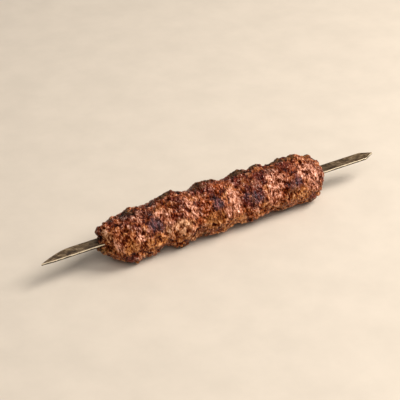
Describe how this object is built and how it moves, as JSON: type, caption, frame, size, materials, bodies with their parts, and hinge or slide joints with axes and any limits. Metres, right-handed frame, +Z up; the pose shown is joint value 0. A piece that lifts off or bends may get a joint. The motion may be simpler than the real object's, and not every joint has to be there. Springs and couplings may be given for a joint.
{
  "type": "kofta skewer",
  "caption": "Grilled minced-meat kofta pressed round a flat steel skewer that is pointed at both ends.",
  "frame": {"origin": "on the resting plane, below the middle of the bounding box, which is below the middle of the skewer's length", "axes": "+X along the skewer towards its short, arrow-like tip, +Y across the blade towards the side that faces away from the viewer in the picture, +Z up"},
  "size_m": [0.2798, 0.0407, 0.0362],
  "materials": {
    "kofta": "browned and charred mince with a moist, fatty shine",
    "skewer": "darkened and smoke-stained flat steel with brighter edges"
  },
  "bodies": {
    "root": {"kofta": "kofta", "skewer": "skewer"}
  },
  "joints": []
}
